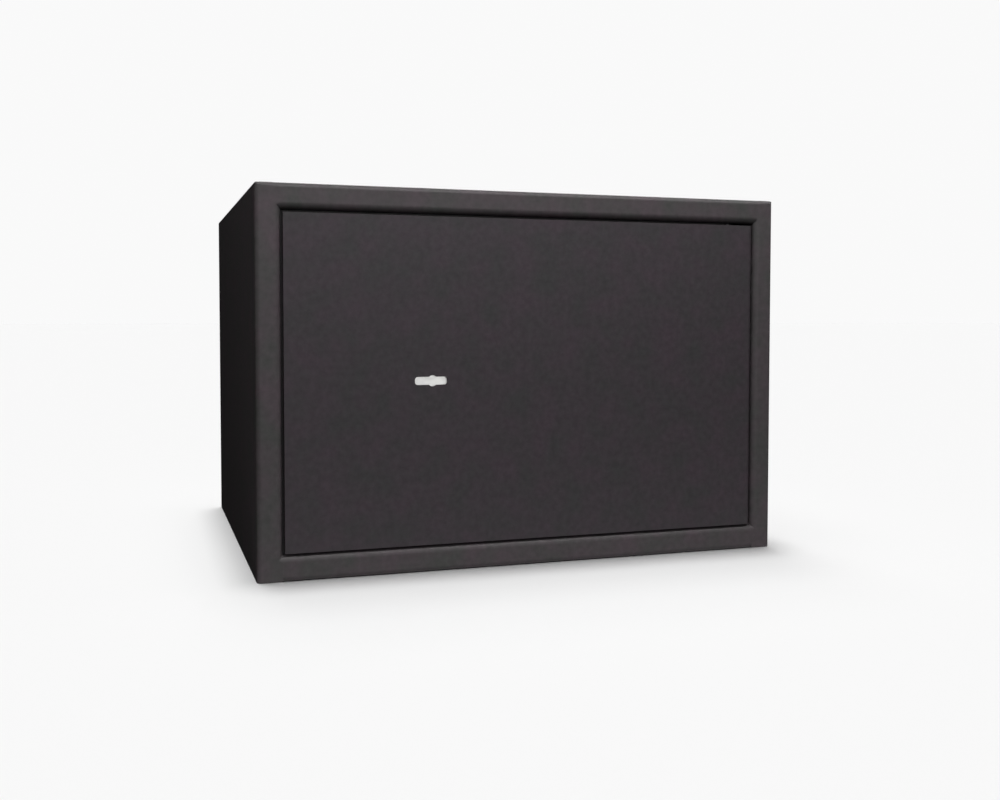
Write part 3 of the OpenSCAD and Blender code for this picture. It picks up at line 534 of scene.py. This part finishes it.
# %% Soften every rigid piece
CLOTH = {"floor_mat"}
# Stop strips that get the nearly black coat of painted shade in the gap round the door.
PAINTED_SHADE_STRIPS = {"left_stop_strip", "top_stop_strip", "bottom_stop_strip"}
slot_of = {part["node"]: part["material_slot"] for part in frame["record"]["subparts"]}
body_of = {node: body for body, names in frame["record"]["behaviour"]["bodies"].items() for node in names}

rigid = {}
for name in sorted(set(nodes) - CLOTH):
    slot = slot_of[name]
    finish = "painted_shade_coat" if name in PAINTED_SHADE_STRIPS else slot
    shape = softened(name, WIDTH_OF_PIECE.get(name, WIDTH_OF_FINISH[slot]))
    rigid[name] = as_object(shape, f"{name}_finished")
    finish_piece(rigid[name], finish, body_of[name], name)
print(len(rigid), "pieces softened")

# %% [markdown]
# ## The felt mat
#
# The mat lies loose on the floor of the cabinet, with a round cut out over each anchor hole. A dark box
# could stand for it, but felt has no crisp edge, and pressed felt never lies quite level. So the rim is
# rounded, cuts across the mat make a grid, and the top of the grid sinks here and there by up to a fifth
# of a millimetre. The fuzz is a sheen over a dark, rough base.

# %% Felt
FELT_DARK = (0.011, 0.011, 0.012)
FELT_PALE = (0.024, 0.024, 0.026)
TUFT_GRAIN = 300
FIBRE_GRAIN = 1500
FIBRE_HEIGHT = 0.2 * MM


def felt():
    """Dark pressed felt with a fuzzy surface."""
    made, shader = material("felt", (0.016, 0.016, 0.017), 0.95, specular=0.2)
    tree = made.node_tree
    shader.inputs["Sheen Weight"].default_value = 0.4
    shader.inputs["Sheen Roughness"].default_value = 0.5
    tufts = tints(tree, grain(tree, TUFT_GRAIN, detail=4), FELT_DARK, FELT_PALE)
    tree.links.new(tufts, shader.inputs["Base Color"])
    relief(tree, shader, grain(tree, FIBRE_GRAIN, detail=4), FIBRE_HEIGHT, strength=0.8)
    return made


FINISHES["felt"] = felt()
print(f"tufts {1 / TUFT_GRAIN / MM:.1f} mm wide, fibres {1 / FIBRE_GRAIN / MM:.1f} mm")

# %% The mat's rim and grid
RIM = 0.7 * MM
GRID = 12 * MM
low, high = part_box("floor_mat")
pressed = softened("floor_mat", RIM, segments=3)


def cut_across(shape, axis):
    """Cuts a shape into even strips along an axis of the mat."""
    across = Vector((axis == 0, axis == 1, 0))
    strips = round((high[axis] - low[axis]) / GRID)
    for step in range(1, strips):
        place = across * (low[axis] + (high[axis] - low[axis]) * step / strips)
        bmesh.ops.bisect_plane(shape, geom=shape.verts[:] + shape.edges[:] + shape.faces[:],
                               plane_co=place, plane_no=across)


cut_across(pressed, 0)
cut_across(pressed, 1)
print(len(pressed.faces), "faces in the mat")

# %% The mat's waves
TOP_LAYER = 0.1 * MM
SINK = 0.2 * MM
WAVES_PER_METRE = 25
for vert in pressed.verts:
    if vert.co.z > high[2] - TOP_LAYER:
        vert.co.z -= SINK * (0.5 + 0.5 * noise.noise(vert.co * WAVES_PER_METRE))
mat = as_object(pressed, "floor_mat_finished")
finish_piece(mat, "felt", "cabinet", "floor_mat")
print(f"waves up to {SINK / MM} mm deep")

# %% [markdown]
# ## A card for the bare metal
#
# Bare metal shows what stands around it. A world that it could mirror would make it pale, but it would grey
# the coats as well. So a pale card stands in front of the door, a little to the right, and the bright flap
# behind the keyhole mirrors it. It shines on the metal pieces alone, apart from the blackened ones.

# %% Card
KEYHOLE = (-0.08, -0.17, 0.15)
DARK = {"cabinet_coat", "door_coat", "dark_steel"}
card = flat_lamp("card", (0.35, -1.3, 0.05), KEYHOLE, energy=3.9, width=1.2, depth=1.2)
shines_on([card], "bare metal", [piece for name, piece in rigid.items() if slot_of[name] not in DARK])
